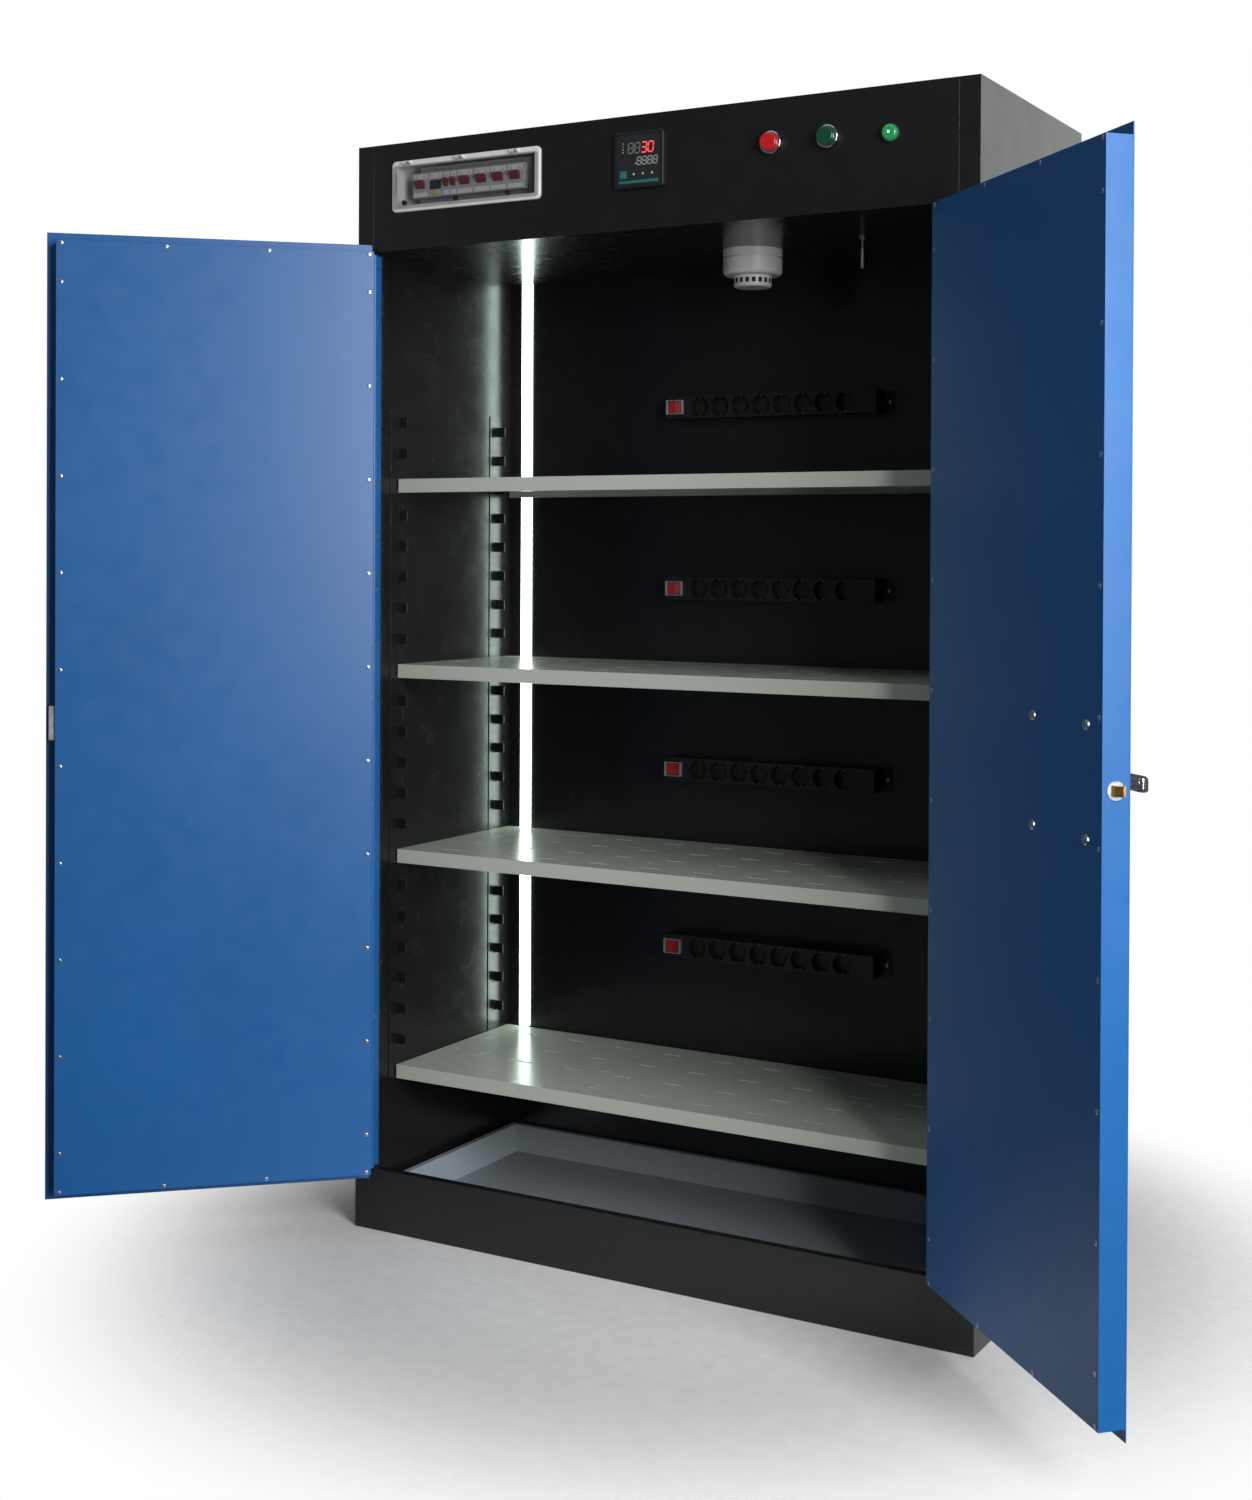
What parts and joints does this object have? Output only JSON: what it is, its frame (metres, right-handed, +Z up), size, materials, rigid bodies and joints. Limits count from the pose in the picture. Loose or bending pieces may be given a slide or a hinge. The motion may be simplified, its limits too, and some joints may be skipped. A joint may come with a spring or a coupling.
{
  "type": "battery cabinet",
  "caption": "Tall battery cabinet with two blue doors, shelves on hooked uprights, socket strips, a drip tray and a control header.",
  "frame": {"origin": "centre of the body's footprint, on the underside of the floor sheet", "axes": "+Z up, front towards -Y, +X to the right seen from the front"},
  "size_m": [1.9564, 0.9239, 2.022],
  "materials": {
    "body_paint": "satin",
    "door_paint": "satin",
    "shelf_paint": "satin",
    "zinc_steel": "satin",
    "latch_steel": "polished",
    "strip_plastic": "matte",
    "rocker_red": "gloss",
    "clear_plastic": "gloss",
    "white_plastic": "matte",
    "breaker_grey": "matte",
    "lever_red": "gloss",
    "display_face": "gloss",
    "stop_red": "gloss",
    "start_green": "gloss",
    "lamp_green": "gloss",
    "led_white": "matte",
    "contact_brass": "satin"
  },
  "bodies": {
    "cabinet": {"side_panel_left": "body_paint", "side_panel_right": "body_paint", "back_panel": "body_paint", "roof_panel": "body_paint", "floor_panel": "body_paint", "header_panel": "body_paint", "sill_panel": "body_paint", "ceiling_panel": "body_paint", "shelf_uprights": "body_paint", "shelf_1": "shelf_paint", "shelf_2": "shelf_paint", "shelf_3": "shelf_paint", "shelf_4": "shelf_paint", "drip_tray": "shelf_paint", "power_strip_housings": "strip_plastic", "controller_case": "strip_plastic", "cable_gland": "strip_plastic", "socket_contacts": "contact_brass", "switch_guards": "clear_plastic", "led_strip": "led_white", "jamb_leaves": "door_paint", "jamb_pins_and_screws": "zinc_steel", "temperature_probe": "zinc_steel", "button_bezels": "latch_steel", "breaker_frame": "white_plastic", "smoke_detector": "white_plastic", "breaker_bodies": "breaker_grey", "controller_face": "display_face", "pilot_lamp": "lamp_green"},
    "left_door": {"left_door_skin": "door_paint", "left_door_liner": "door_paint", "left_door_leaf": "door_paint", "left_door_screws": "zinc_steel", "strike_plate": "zinc_steel"},
    "right_door": {"right_door_skin": "door_paint", "right_door_liner": "door_paint", "right_door_leaf": "door_paint", "right_door_screws": "zinc_steel", "handle_plate": "zinc_steel", "latch_case": "zinc_steel"},
    "door_handle": {"door_handle": "latch_steel"},
    "latch_bolt": {"latch_bolt": "latch_steel"},
    "key_plug": {"key_plug": "latch_steel"},
    "window_cover": {"breaker_cover": "clear_plastic"},
    "stop_button": {"stop_button": "stop_red"},
    "start_button": {"start_button": "start_green"},
    "cover_latch_1": {"cover_latch_1": "strip_plastic"},
    "cover_latch_2": {"cover_latch_2": "strip_plastic"},
    "cover_latch_3": {"cover_latch_3": "strip_plastic"},
    "breaker_lever_1": {"breaker_lever_1": "lever_red"},
    "breaker_lever_2": {"breaker_lever_2": "lever_red"},
    "breaker_lever_3": {"breaker_lever_3": "lever_red"},
    "breaker_lever_4": {"breaker_lever_4": "lever_red"},
    "breaker_lever_5": {"breaker_lever_5": "lever_red"},
    "breaker_lever_6": {"breaker_lever_6": "lever_red"},
    "breaker_lever_7": {"breaker_lever_7": "lever_red"},
    "strip_switch_1": {"strip_switch_1": "rocker_red"},
    "strip_switch_2": {"strip_switch_2": "rocker_red"},
    "strip_switch_3": {"strip_switch_3": "rocker_red"},
    "strip_switch_4": {"strip_switch_4": "rocker_red"}
  },
  "joints": [
    {"name": "left_door_hinge", "type": "hinge", "parent": "cabinet", "child": "left_door", "pos_m": [-0.567, -0.2555, 1], "axis": [0, 0, 1], "range_deg": [-33, 137.3]},
    {"name": "right_door_hinge", "type": "hinge", "parent": "cabinet", "child": "right_door", "pos_m": [0.567, -0.2555, 1], "axis": [0, 0, -1], "range_deg": [-33, 135.7]},
    {"name": "handle_turn", "type": "hinge", "parent": "right_door", "child": "door_handle", "pos_m": [0.9338, -0.58551, 0.948], "axis": [-0.6984, -0.7157, 0], "range_deg": [0, 45], "stiffness_Nm_per_rad": 0.6, "springref_deg": -40.11},
    {"name": "latch_slide", "type": "slide", "parent": "right_door", "child": "latch_bolt", "axis": [-0.7157, 0.6984, 0], "range_m": [0, 0.013]},
    {"name": "key_turn", "type": "hinge", "parent": "right_door", "child": "key_plug", "pos_m": [0.92333, -0.59624, 0.886], "axis": [-0.6984, -0.7157, 0], "range_deg": [0, 90]},
    {"name": "cover_hinge", "type": "hinge", "parent": "cabinet", "child": "window_cover", "pos_m": [-0.366, -0.2615, 1.9615], "axis": [-1, 0, 0], "range_deg": [0, 110]},
    {"name": "cover_latch_1_turn", "type": "hinge", "parent": "window_cover", "child": "cover_latch_1", "pos_m": [-0.495, -0.2598, 1.888], "axis": [0, 1, 0], "range_deg": [0, 90]},
    {"name": "cover_latch_2_turn", "type": "hinge", "parent": "window_cover", "child": "cover_latch_2", "pos_m": [-0.381, -0.2598, 1.888], "axis": [0, 1, 0], "range_deg": [0, 90]},
    {"name": "cover_latch_3_turn", "type": "hinge", "parent": "window_cover", "child": "cover_latch_3", "pos_m": [-0.269, -0.2598, 1.888], "axis": [0, 1, 0], "range_deg": [0, 90]},
    {"name": "breaker_lever_1_throw", "type": "hinge", "parent": "cabinet", "child": "breaker_lever_1", "pos_m": [-0.4705, -0.2425, 1.92], "axis": [1, 0, 0], "range_deg": [0, 60]},
    {"name": "breaker_lever_2_throw", "type": "hinge", "parent": "cabinet", "child": "breaker_lever_2", "pos_m": [-0.41325, -0.2425, 1.92], "axis": [1, 0, 0], "range_deg": [0, 60]},
    {"name": "breaker_lever_3_throw", "type": "hinge", "parent": "cabinet", "child": "breaker_lever_3", "pos_m": [-0.39775, -0.2425, 1.92], "axis": [1, 0, 0], "range_deg": [0, 60]},
    {"name": "breaker_lever_4_throw", "type": "hinge", "parent": "cabinet", "child": "breaker_lever_4", "pos_m": [-0.372, -0.2425, 1.92], "axis": [1, 0, 0], "range_deg": [0, 60]},
    {"name": "breaker_lever_5_throw", "type": "hinge", "parent": "cabinet", "child": "breaker_lever_5", "pos_m": [-0.336, -0.2425, 1.92], "axis": [1, 0, 0], "range_deg": [0, 60]},
    {"name": "breaker_lever_6_throw", "type": "hinge", "parent": "cabinet", "child": "breaker_lever_6", "pos_m": [-0.3, -0.2425, 1.92], "axis": [1, 0, 0], "range_deg": [0, 60]},
    {"name": "breaker_lever_7_throw", "type": "hinge", "parent": "cabinet", "child": "breaker_lever_7", "pos_m": [-0.264, -0.2425, 1.92], "axis": [1, 0, 0], "range_deg": [0, 60]},
    {"name": "strip_switch_1_rock", "type": "hinge", "parent": "cabinet", "child": "strip_switch_1", "pos_m": [-0.19, 0.214, 0.485], "axis": [0, 0, 1], "range_deg": [0, 14]},
    {"name": "strip_switch_2_rock", "type": "hinge", "parent": "cabinet", "child": "strip_switch_2", "pos_m": [-0.19, 0.214, 0.831], "axis": [0, 0, 1], "range_deg": [0, 14]},
    {"name": "strip_switch_3_rock", "type": "hinge", "parent": "cabinet", "child": "strip_switch_3", "pos_m": [-0.19, 0.214, 1.184], "axis": [0, 0, 1], "range_deg": [0, 14]},
    {"name": "strip_switch_4_rock", "type": "hinge", "parent": "cabinet", "child": "strip_switch_4", "pos_m": [-0.19, 0.214, 1.537], "axis": [0, 0, 1], "range_deg": [0, 14]},
    {"name": "stop_button_press", "type": "slide", "parent": "cabinet", "child": "stop_button", "axis": [0, 1, 0], "range_m": [0, 0.004], "stiffness_N_per_m": 400, "springref_m": -0.003},
    {"name": "start_button_press", "type": "slide", "parent": "cabinet", "child": "start_button", "axis": [0, 1, 0], "range_m": [0, 0.004], "stiffness_N_per_m": 400, "springref_m": -0.003}
  ],
  "couplings": [
    {"joint": "latch_slide", "follows": "handle_turn", "m_per_rad": 0.016551}
  ]
}
